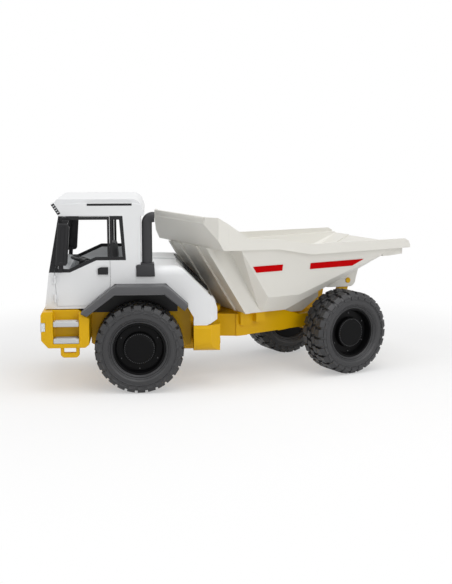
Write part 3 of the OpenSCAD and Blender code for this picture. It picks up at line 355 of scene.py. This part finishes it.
def plastics(hue):
    """The truck's finishes by name. Materials are made once and shared."""
    # Columns: colour, roughness, grain in millimetres, bump, mottling, specular level
    moulded = {
        # Glossy, with soft highlights and hardly any peel
        "ABS cool white": (hue.cab, 0.34, 0.9, 0.012, 0.008, 0.5),
        # Semi-gloss with a warmer pigment, for large panels with faint flow mottling
        "ABS warm white": (hue.bed, 0.38, 1.1, 0.03, 0.014, 0.5),
        # Strong pigment, semi-gloss
        "ABS traffic yellow": (hue.chassis, 0.36, 1.0, 0.06, 0.04, 0.22),
        # Spark-eroded tool, so a satin grain that shows at arm's length
        "PP graphite": (hue.fender, 0.46, 0.7, 0.16, 0.05, 0.3),
        "PP charcoal": (hue.stack, 0.46, 0.7, 0.14, 0.05, 0.28),
        # Smooth dark trim with little shine
        "ABS black": (hue.trim, 0.38, 0.8, 0.08, 0.05, 0.25),
        # Soft and satin, so that the blocks' edges catch the light
        "PVC tyre": (hue.tyre, 0.44, 0.6, 0.12, 0.10, 0.5),
        # Nearly no shine, so that the dish stays deep black
        "Nylon rim": (hue.rim, 0.42, 0.8, 0.06, 0.06, 0.1),
        # Matt lining
        "ABS pale grey": (hue.inside, 0.5, 0.8, 0.08, 0.03, 0.5),
        # Printed film with hardly any shine, so that its red stays deep
        "Printed red film": (hue.stripe, 0.42, 1.4, 0.02, 0.02, 0.03),
    }
    recipes = {name: (moulded_plastic, *values) for name, values in moulded.items()}
    recipes.update({
        "Silver lacquer": (silver_lacquer, hue.step),
        "Zinc plated steel": (zinc_steel, "#A9ABAE"),
        "Clear styrene": (clear_styrene, "#D6E0E4"),
        "Lamp lens": (lamp_lens, "#E6EBEE", "#AEB6BC"),
    })
    made = {m.name: m for m in bpy.data.materials}
    return {name: made.get(name) or make(name, *values)
            for name, (make, *values) in recipes.items()}


def silver_lacquer(name, colour):
    """Silver paint over ABS: metal flake that glints in small cells, 0.35 mm across."""
    made, tree, place = blank_material(name)
    flake = add_node(tree, "ShaderNodeTexVoronoi", {"Scale": 2800.0}, place)
    tone = linear(colour)
    tint = add_node(tree, "ShaderNodeMix", {"A": scaled(tone, 0.9), "B": tone},
                    {"Factor": (flake, "Distance")}, data_type="RGBA")
    principled(tree, {"Metallic": 0.35, "Roughness": 0.38}, {"Base Color": (tint, "Result")})
    return made


def zinc_steel(name, colour):
    """Bright zinc over drawn steel: a fine change of gloss, about 1 mm across."""
    made, tree, place = blank_material(name)
    patches = add_node(tree, "ShaderNodeTexNoise", {"Scale": 900.0, "Detail": 2.0}, place)
    gloss = add_node(tree, "ShaderNodeMapRange", {"To Min": 0.24, "To Max": 0.4},
                     {"Value": (patches, "Fac")})
    principled(tree, {"Base Color": linear(colour), "Metallic": 1.0},
               {"Roughness": (gloss, "Result")})
    return made


def clear_styrene(name, colour):
    """Thin clear polystyrene: faint haze and reflections, and a straight view through it."""
    made, tree, place = blank_material(name)
    # Handling marks, about 17 mm across, that dull the gloss a little
    marks = add_node(tree, "ShaderNodeTexNoise", {"Scale": 60.0, "Detail": 1.0}, place)
    gloss = add_node(tree, "ShaderNodeMapRange", {"To Min": 0.01, "To Max": 0.05},
                     {"Value": (marks, "Fac")})
    principled(tree, {"Base Color": linear(colour), "IOR": 1.59, "Specular IOR Level": 1.0,
                      "Alpha": 0.07}, {"Roughness": (gloss, "Result")})
    return made


def lamp_lens(name, lit, shaded):
    """Lens over a bright reflector: pale, glossy, with 1.6 mm prisms."""
    made, tree, place = blank_material(name)
    prism = add_node(tree, "ShaderNodeTexVoronoi", {"Scale": 620.0}, place, distance="CHEBYCHEV")
    tint = add_node(tree, "ShaderNodeMix", {"A": linear(lit), "B": linear(shaded)},
                    {"Factor": (prism, "Distance")}, data_type="RGBA")
    relief = add_node(tree, "ShaderNodeBump", {"Strength": 0.3, "Distance": 0.3 * MM},
                      {"Height": (prism, "Distance")})
    principled(tree, {"Metallic": 0.2, "Roughness": 0.16, "IOR": 1.55, "Coat Weight": 0.6},
               {"Base Color": (tint, "Result"), "Normal": (relief, "Normal")})
    return made


def finish_of(node):
    """The finish of a solid, by its name."""
    if node.startswith("tyre_"):
        return "PVC tyre"
    if node.startswith("rim_"):
        return "Nylon rim"
    table = {
        "ABS traffic yellow": ("front_chassis", "bumper", "side_tanks", "rear_frame",
                               "tipping_pin"),
        "Zinc plated steel": ("front_axle", "rear_axle", "articulation_pin"),
        "Silver lacquer": ("steps",),
        "Lamp lens": ("headlamps", "roof_lamps"),
        "Clear styrene": ("windscreen",),
        "ABS warm white": ("bed_shell", "bed_ears"),
        "PP graphite": ("fenders", "seat"),
        "PP charcoal": ("air_stack",),
        "ABS pale grey": ("cab_interior",),
        "Printed red film": ("bed_stripes",),
        "ABS cool white": ("cab_shell", "cab_roof", "engine_cover", "door_left_panel",
                           "door_right_panel"),
    }
    for finish, nodes in table.items():
        if node in nodes:
            return finish
    return "ABS black"


def edge_radius(node):
    """How round the tool left a solid's outer edges, in metres. With 0 they stay crisp."""
    if node.startswith(("tyre_", "rim_")):
        return 0.4 * MM
    if finish_of(node) == "ABS cool white":
        return 0.0
    radii_mm = {"fenders": 1.4, "bumper": 1.0, "side_tanks": 2.4, "bed_shell": 0.7, "rear_frame": 0,
                "front_chassis": 0.8, "steps": 0.9, "seat": 1.5, "mirror_left": 0.9,
                "mirror_right": 0.9, "air_stack": 0.6, "window_frame": 0}
    return radii_mm.get(node, 0.3) * MM


def soften(obj, radius):
    """Welds the solid's triangles and rounds its edges, or keeps them crisp, as live modifiers."""
    weld = obj.modifiers.new("Weld", "WELD")
    weld.merge_threshold = MERGE
    if radius:
        bevel = obj.modifiers.new("Moulded edge", "BEVEL")
        bevel.width = radius
        bevel.segments = 2
        bevel.limit_method = "ANGLE"
        bevel.angle_limit = math.radians(15)
        bevel.use_clamp_overlap = True
        bevel.loop_slide = False
    else:
        crease = obj.modifiers.new("Crisp edge", "EDGE_SPLIT")
        crease.split_angle = math.radians(14)
    level = obj.modifiers.new("Flat faces", "WEIGHTED_NORMAL")
    level.weight = 100
    only(obj)
    bpy.ops.object.shade_smooth()


class TRUCK_OT_wheel_details(bpy.types.Operator):
    """Adds tread, beads, shoulder blocks, studs and bolts, made once and copied to each wheel"""
    bl_idname = "truck.wheel_details"
    bl_label = "Wheel details"

    def execute(self, context):
        wheels = context.scene.truck_wheels
        finishes = plastics(context.scene.truck_colours)
        kinds = (
            (tread_blocks, "tread_blocks", "PVC tyre", "tyre_rubber", CREASE_DEG),
            (sidewall_beads, "sidewall_beads", "PVC tyre", "tyre_rubber", ROUND_DEG),
            (shoulder_blocks, "shoulder_blocks", "PVC tyre", "tyre_rubber", CREASE_DEG),
            # Studs and bolts take the lighter graphite, not the rim's near-black: painted highlight
            # that stands for the glints on them
            (hub_studs, "hub_studs", "PP graphite", "rim_plastic", CREASE_DEG),
            (rim_bolts, "rim_bolts", "PP graphite", "rim_plastic", CREASE_DEG))
        models = [make(label, wheels) for make, label, *_ in kinds]
        sets = [models] + [[copy_of(model) for model in models] for _ in WHEELS[1:]]
        for wheel, pieces in zip(WHEELS, sets):
            for piece, (_, label, finish, slot, smooth) in zip(pieces, kinds):
                piece.name = piece.data.name = "%s_%s" % (label, wheel)
                finish_piece(piece, finishes[finish], "wheel_" + wheel,
                             wheel_matrix(wheel), smooth)
        return {"FINISHED"}


def tread_blocks(name, wheels):
    """Two rows of slanted blocks between the tyre's lugs, the second half a pitch on."""
    gap, border, crown, rounding = 0.9 * MM, 0.7 * MM, 0.12 * MM, 0.35 * MM
    height = wheels.tread_top - wheels.tread_root
    middle = wheels.tread_root + height / 2
    side = wheels.block_wide / 2 + gap
    clear_selection()
    for lag, row in ((0, 1), (math.pi / wheels.blocks, -1)):
        add_cube((math.sin(lag) * middle, row * side, math.cos(lag) * middle),
                 (wheels.block_long, wheels.block_wide, height), (0, lag, row * wheels.block_slant))
        blocks = start_or_join(name)
    pick_faces(blocks, lambda normal: normal.z > FACING)
    bpy.ops.mesh.inset(thickness=border, use_individual=True)
    bpy.ops.transform.translate(value=(0, 0, crown))
    ring_of(blocks, wheels.blocks)
    round_edges(blocks, rounding, 1)
    return blocks


def sidewall_beads(name, wheels):
    """Moulded beads round both faces of a tyre."""
    # Columns, in millimetres: radius, distance from the middle plane, thickness
    beads = ((33.0, 17.6, 1.0), (35.4, 19.4, 0.5), (42.6, 20.8, 0.6))
    clear_selection()
    for side in (1, -1):
        for radius, out, thick in beads:
            bpy.ops.mesh.primitive_circle_add(vertices=8, radius=thick * MM, fill_type="NOTHING",
                                              location=(0, side * out * MM, radius * MM),
                                              rotation=(0, QUARTER, 0))
            rings = start_or_join(name)
    bpy.ops.mesh.select_all(action="SELECT")
    bpy.ops.mesh.spin(steps=wheels.bead_steps, angle=2 * math.pi, center=(0, 0, 0), axis=(0, 1, 0))
    outward(rings)
    return rings


def shoulder_blocks(name, wheels):
    """A row of flat blocks on each face of the tyre, below the lugs, with a sunk middle."""
    turn, ring, out = math.radians(5), 45.4 * MM, 20.9 * MM
    size = (3.6 * MM, 1.9 * MM, 8.2 * MM)
    border, sunk, rounding = 0.7 * MM, -0.4 * MM, 0.25 * MM
    clear_selection()
    for side in (1, -1):
        add_cube((math.cos(turn) * ring, side * out, math.sin(turn) * ring), size, (0, -turn, 0))
        blocks = start_or_join(name)
    pick_faces(blocks, lambda normal: abs(normal.y) > FACING)
    bpy.ops.mesh.inset(thickness=border, depth=sunk, use_individual=True)
    ring_of(blocks, wheels.blocks)
    round_edges(blocks, rounding, 1)
    return blocks


def dish_peg(name, sides, radius, depth, out, ring):
    """Starts a peg that stands on the rim's dish at the top of a ring, and picks its end."""
    clear_selection()
    bpy.ops.mesh.primitive_cylinder_add(vertices=sides, radius=radius, depth=depth,
                                        location=(0, out, ring), rotation=(-QUARTER, 0, 0))
    peg = start(name)
    pick_faces(peg, lambda normal: normal.y > FACING)
    return peg


def hub_studs(name, wheels):
    """The ring of small round studs on the hub's edge."""
    radius, depth, out, rounding = 0.42 * MM, 1.4 * MM, 13.6 * MM, 0.2 * MM
    studs = dish_peg(name, 8, radius, depth, out, wheels.stud_ring)
    bpy.ops.mesh.bevel(offset=rounding, segments=2)
    ring_of(studs, wheels.studs)
    return studs


def rim_bolts(name, wheels):
    """Hexagon bolts on the rim's dish, with a rounded head."""
    radius, depth, out, border, rounding = 0.8 * MM, 1.6 * MM, 7.6 * MM, 0.25 * MM, 0.12 * MM
    bolts = dish_peg(name, 6, radius, depth, out, wheels.bolt_ring)
    bpy.ops.mesh.inset(thickness=border)
    bpy.ops.mesh.bevel(offset=rounding, segments=2)
    ring_of(bolts, wheels.bolts)
    return bolts


class TRUCK_OT_cab_details(bpy.types.Operator):
    """Adds black sheets as painted shade under the front fenders, visor and lamp trim, fender lips,
    stack foot, step ribs and mirror covers
    """
    bl_idname = "truck.cab_details"
    bl_label = "Cab details"

    def execute(self, context):
        finishes = plastics(context.scene.truck_colours)
        place = unit_matrix("front")
        for piece, finish, slot in (
                # A black sheet painted where the chassis lies in shade under each front fender
                (arch_linings(), "ABS black", "black_plastic"),
                (visor_lamps(), "ABS black", "black_plastic"),
                (visor_hatching(), "ABS pale grey", "pale_grey_plastic"),
                (lamp_frames(), "Silver lacquer", "silver_plastic"),
                (fender_lips(), "PP graphite", "dark_grey_plastic"),
                (stack_foot(), "PP charcoal", "dark_grey_plastic"),
                (step_ribs(), "Silver lacquer", "silver_plastic")):
            finish_piece(piece, finishes[finish], "front_unit", place)
        for side, sign in (("left", 1), ("right", -1)):
            cover = mirror_face("mirror_face_" + side, sign)
            finish_piece(cover, finishes["ABS black"], "door_" + side, place)
        return {"FINISHED"}


def arch_linings():
    """Black sheets on the chassis sides above the front tyres, cut to the fenders' slopes: painted
    shade where the yellow chassis lies in shadow under the fenders.
    """
    front, rear, low, high, out, thick = 56.0, -46.0, 90.0, 117.2, 46.1, 0.5
    # Columns: where a slope leaves the sheet's top, and the way its cut-off side faces
    slopes = ((23.0, (0.57, 0, 0.82)), (-27.5, (-0.69, 0, 0.72)))
    middle = ((front + rear) / 2 * MM, out * MM, (low + high) / 2 * MM)
    clear_selection()
    bpy.ops.mesh.primitive_plane_add(size=1, location=middle, rotation=(QUARTER, 0, 0))
    shade_sheet = start("arch_linings")
    bpy.ops.object.mode_set(mode="EDIT")
    bpy.ops.mesh.select_all(action="SELECT")
    bpy.ops.transform.resize(value=((front - rear) * MM, 1, (high - low) * MM),
                             center_override=middle)
    for corner, away in slopes:
        bpy.ops.mesh.select_all(action="SELECT")
        bpy.ops.mesh.bisect(plane_co=(corner * MM, 0, high * MM), plane_no=away, clear_outer=True)
    bpy.ops.mesh.select_all(action="SELECT")
    bpy.ops.mesh.extrude_region_move(TRANSFORM_OT_translate={"value": (0, thick * MM, 0)})
    both_sides(shade_sheet)
    return shade_sheet


def visor_bar(along, thick, inward, lateral, shift=0.0):
    """Adds a bar on the visor's end, square to its sloping face. In millimetres: its lengths along
    and into the face, how deep it starts, its two sides and how far up the slope it is moved."""
    foot, tip = Vector((92, 0, 208)), Vector((101, 0, 222))
    run = (tip - foot).normalized()
    into = Vector((-run.z, 0, run.x))
    middle = (foot + tip) / 2 + run * shift + into * (inward + thick / 2)
    add_cube((middle.x * MM, sum(lateral) / 2 * MM, middle.z * MM),
             (along * MM, (lateral[1] - lateral[0]) * MM, thick * MM),
             (0, -math.atan2(run.z, run.x), 0))


def visor_lamps():
    """Dark marker lamps on both ends of the sun visor."""
    border, sunk, rounding = 0.5 * MM, -0.2 * MM, 0.15 * MM
    clear_selection()
    visor_bar(along=14.0, thick=3.6, inward=0.3, lateral=(71.4, 72.35))
    lamps = start("visor_lamps")
    pick_faces(lamps, lambda normal: normal.y > FACING)
    bpy.ops.mesh.inset(thickness=border, depth=sunk)
    both_sides(lamps)
    round_edges(lamps, rounding, 1)
    return lamps


def visor_hatching():
    """Pale prisms across the marker lamps."""
    shifts, rounding = (-4.4, -1.5, 1.4, 4.3), 0.2 * MM
    clear_selection()
    for shift in shifts:
        visor_bar(along=0.9, thick=2.4, inward=0.9, lateral=(71.8, 72.5), shift=shift)
        prisms = start_or_join("visor_hatching")
    both_sides(prisms)
    round_edges(prisms, rounding, 1)
    return prisms


def lamp_frames():
    """Silver frames round the headlamps, with a bar between the two bowls."""
    border, rounding = 1.1 * MM, 0.25 * MM
    frames = new_block("lamp_frames", (113.2, 53.2, 74.2), (114.5, 88.0, 85.8))
    pick_faces(frames, lambda normal: abs(normal.x) > FACING)
    bpy.ops.mesh.inset(thickness=border)
    bpy.ops.mesh.bridge_edge_loops()
    add_block((113.2, 70.0, 75.0), (114.3, 71.2, 85.0))
    both_sides(frames)
    round_edges(frames, rounding)
    return frames


def mirror_face(name, sign):
    """The domed cover on a mirror's outer face, leaning with the windscreen, with a sunk middle."""
    lean, dome, border, sunk = -3.8 * MM, 1.7 * MM, 1.8 * MM, 0.5 * MM
    # Stricter than FACING, which would take in the dome's first facets
    flat = 0.99
    near, far = sorted((81.0 * sign, 84.6 * sign))
    face = new_block(name, (83.0, near, 151.6), (95.4, far, 200.4))
    pick_faces(face, lambda normal: normal.z > FACING)
    bpy.ops.transform.translate(value=(lean, 0, 0))
    bpy.ops.mesh.select_all(action="SELECT")
    bpy.ops.mesh.bevel(offset=dome, segments=4)
    pick_faces(face, lambda normal: normal.y * sign > flat)
    bpy.ops.mesh.inset(thickness=border)
    bpy.ops.mesh.inset(thickness=sunk, depth=-sunk)
    bpy.ops.object.mode_set(mode="OBJECT")
    return face


def fender_lips():
    """A rolled lip along the lower edge of each front fender, drawn out from end to end."""
    # Columns, in millimetres: along the truck, height
    path = ((61.5, 93.6), (28.6, 118.6), (-29.2, 118.6), (-53.4, 98.6))
    out, radius, tilt = 93.2, 1.3, math.radians(-53)
    clear_selection()
    bpy.ops.mesh.primitive_circle_add(vertices=10, radius=radius * MM, fill_type="NGON",
                                      location=(path[0][0] * MM, out * MM, path[0][1] * MM),
                                      rotation=(0, tilt, 0))
    lips = start("fender_lips")
    bpy.ops.object.mode_set(mode="EDIT")
    bpy.ops.mesh.select_all(action="SELECT")
    for (x0, z0), (x1, z1) in zip(path, path[1:]):
        run = ((x1 - x0) * MM, 0, (z1 - z0) * MM)
        bpy.ops.mesh.extrude_region_move(TRANSFORM_OT_translate={"value": run})
    both_sides(lips)
    return lips


def stack_foot():
    """The tapered boot round the foot of the intake stack, with a collar at its top."""
    taper, shoulder, collar, rounding = 0.93, 2.6 * MM, 1.8 * MM, 0.8 * MM
    pivot = (-8.4 * MM, 66.4 * MM, 150.6 * MM)
    foot = new_block("stack_foot", (-19.2, 58.0, 136.6), (2.7, 74.8, 150.6))
    pick_faces(foot, lambda normal: normal.z > FACING)
    bpy.ops.transform.resize(value=(taper, taper, 1), center_override=pivot)
    bpy.ops.mesh.inset(thickness=shoulder)
    bpy.ops.mesh.extrude_region_move(TRANSFORM_OT_translate={"value": (0, 0, collar)})
    bpy.ops.object.mode_set(mode="OBJECT")
    round_edges(foot, rounding, 3)
    return foot


def step_ribs():
    """Grip ribs along the tops of the steps."""
    border, rounding = 0.2 * MM, 0.18 * MM
    # Columns: how many, how far apart
    rows = ((5, (0, 2.4 * MM, 0)), (2, (0, 0, -20.0 * MM)))
    ribs = new_block("step_ribs", (72.5, 76.0, 85.8), (97.5, 76.9, 86.6))
    pick_faces(ribs, lambda normal: normal.z > FACING)
    bpy.ops.mesh.inset(thickness=border)
    only(ribs)
    for count, pitch in rows:
        copies = ribs.modifiers.new("Copies", "ARRAY")
        copies.count = count
        copies.use_relative_offset = False
        copies.use_constant_offset = True
        copies.constant_offset_displace = pitch
        bpy.ops.object.modifier_apply(modifier=copies.name)
    both_sides(ribs)
    round_edges(ribs, rounding, 1)
    return ribs


class TRUCK_OT_bed_details(bpy.types.Operator):
    """Adds the canopy's stiffened lip to the bed"""
    bl_idname = "truck.bed_details"
    bl_label = "Bed details"

    def execute(self, context):
        finishes = plastics(context.scene.truck_colours)
        finish_piece(canopy_lip(), finishes["ABS warm white"], "bed",
                     unit_matrix("rear"))
        return {"FINISHED"}


def canopy_lip():
    """The stiffened front edge of the canopy, with recessed ends, in the rear unit's space."""
    border, sunk, rounding = 0.7 * MM, -0.4 * MM, 0.18 * MM
    lip = new_block("canopy_lip", (198.6, -63.4, 199.6), (201.2, 63.4, 205.9))
    pick_faces(lip, lambda normal: abs(normal.y) > FACING)
    bpy.ops.mesh.inset(thickness=border, depth=sunk, use_individual=True)
    bpy.ops.object.mode_set(mode="OBJECT")
    round_edges(lip, rounding, 2)
    return lip


class TRUCK_OT_stage(bpy.types.Operator):
    """Sets the floor, the soft light and the camera at the photograph's angle"""
    bl_idname = "truck.stage"
    bl_label = "Stage"

    def execute(self, context):
        stage = context.scene.truck_stage
        context.scene.view_settings.view_transform = "Standard"
        add_floor()
        context.scene.world = studio_room(stage.sky)
        # Columns: name, place, what it faces, size, power
        for softbox in (
                ("Key softbox", (-0.2, 0.3, 1.35), (0.0, -0.03, 0.1), 1.1, stage.key),
                ("Fill softbox", (-0.85, 1.55, 0.85), (0.0, 0.0, 0.12), 1.0, stage.fill),
                ("Front softbox", (1.25, 0.55, 1.25), (-0.05, 0.0, 0.15), 0.8, stage.front)):
            add_softbox(*softbox)
        context.scene.camera = add_camera(stage.lens)
        return {"FINISHED"}


def add_floor():
    """A pale floor that keeps the truck's shadow and fades into the white room."""
    size, drop = 24.0, -0.2 * MM
    near, edge, least = 0.30, 0.62, 0.4
    clear_selection()
    bpy.ops.mesh.primitive_plane_add(size=size, location=(0, 0, drop))
    floor = bpy.context.object
    floor.name = "floor"
    made, tree, place = blank_material("Pale studio floor")
    far = add_node(tree, "ShaderNodeVectorMath", links={0: place["Vector"]}, operation="LENGTH")
    # To the eye the floor is partly white near the truck, which thins the yellow that bounces
    # onto it, and all white past edge
    fade = add_node(tree, "ShaderNodeMapRange",
                    {"From Min": near, "From Max": edge, "To Min": least},
                    {"Value": (far, "Value")}, interpolation_type="SMOOTHSTEP")
    mix = add_node(tree, "ShaderNodeMath", operation="MULTIPLY",
                   links={0: (fade, "Result"), 1: (seen_by_eye(tree), "Value")})
    paper = add_node(tree, "ShaderNodeBsdfDiffuse", {"Color": linear("#F7F7F7")})
    white = add_node(tree, "ShaderNodeEmission", {"Color": WHITE, "Strength": 1.0})
    blend = add_node(tree, "ShaderNodeMixShader",
                     links={0: (mix, "Value"), 1: (paper, "BSDF"), 2: (white, "Emission")})
    add_node(tree, "ShaderNodeOutputMaterial", links={"Surface": (blend, "Shader")})
    floor.data.materials.append(made)


def studio_room(sky):
    """A room that is white to the eye and lights the truck evenly at the strength sky."""
    room = bpy.data.worlds.new("Studio room")
    room.use_nodes = True
    tree = room.node_tree
    tree.nodes.clear()
    level = add_node(tree, "ShaderNodeMapRange", {"To Min": sky, "To Max": 1.0},
                     {"Value": (seen_by_eye(tree), "Value")})
    light = add_node(tree, "ShaderNodeBackground", {"Color": WHITE},
                     {"Strength": (level, "Result")})
    add_node(tree, "ShaderNodeOutputWorld", links={"Surface": (light, "Background")})
    return room


def add_softbox(name, place, target, size, power):
    """A square softbox that faces target."""
    data = bpy.data.lights.new(name, "AREA")
    data.shape = "SQUARE"
    data.size = size
    data.energy = power
    lamp = bpy.data.objects.new(name, data)
    bpy.context.scene.collection.objects.link(lamp)
    lamp.location = place
    lamp.rotation_euler = (Vector(target) - Vector(place)).to_track_quat("-Z", "Y").to_euler()


def add_camera(lens):
    """The camera, where it was fitted to the photograph."""
    data = bpy.data.cameras.new("Camera")
    camera = bpy.data.objects.new("Camera", data)
    bpy.context.scene.collection.objects.link(camera)
    data.sensor_width = 36.0
    data.lens = lens
    camera.location = (0.10125, 1.3203, 0.3100)
    camera.rotation_euler = (math.radians(80.89), 0.0, math.radians(175.90))
    return camera


class TRUCK_PT_panel(bpy.types.Panel):
    """Lists the truck's operators and settings"""
    bl_idname = "TRUCK_PT_panel"
    bl_label = "Toy dump truck"
    bl_space_type = "VIEW_3D"
    bl_region_type = "UI"
    bl_category = "Truck"

    def draw(self, context):
        for operator in OPERATORS:
            self.layout.operator(operator.bl_idname)
        for attribute, cls in GROUPS.items():
            for name in cls.__annotations__:
                self.layout.prop(getattr(context.scene, attribute), name)


OPERATORS = (TRUCK_OT_finish_solids, TRUCK_OT_wheel_details, TRUCK_OT_cab_details,
             TRUCK_OT_bed_details, TRUCK_OT_stage)
GROUPS = {"truck_colours": TruckColours, "truck_wheels": TruckWheels, "truck_stage": TruckStage}
CLASSES = (*GROUPS.values(), *OPERATORS, TRUCK_PT_panel)


def register():
    for cls in CLASSES:
        bpy.utils.register_class(cls)
    for name, cls in GROUPS.items():
        setattr(bpy.types.Scene, name, PointerProperty(type=cls))


def unregister():
    for name in GROUPS:
        delattr(bpy.types.Scene, name)
    for cls in reversed(CLASSES):
        bpy.utils.unregister_class(cls)


def main():
    register()
    for operator in OPERATORS:
        group, name = operator.bl_idname.split(".")
        getattr(getattr(bpy.ops, group), name)()


if __name__ == "__main__":
    main()
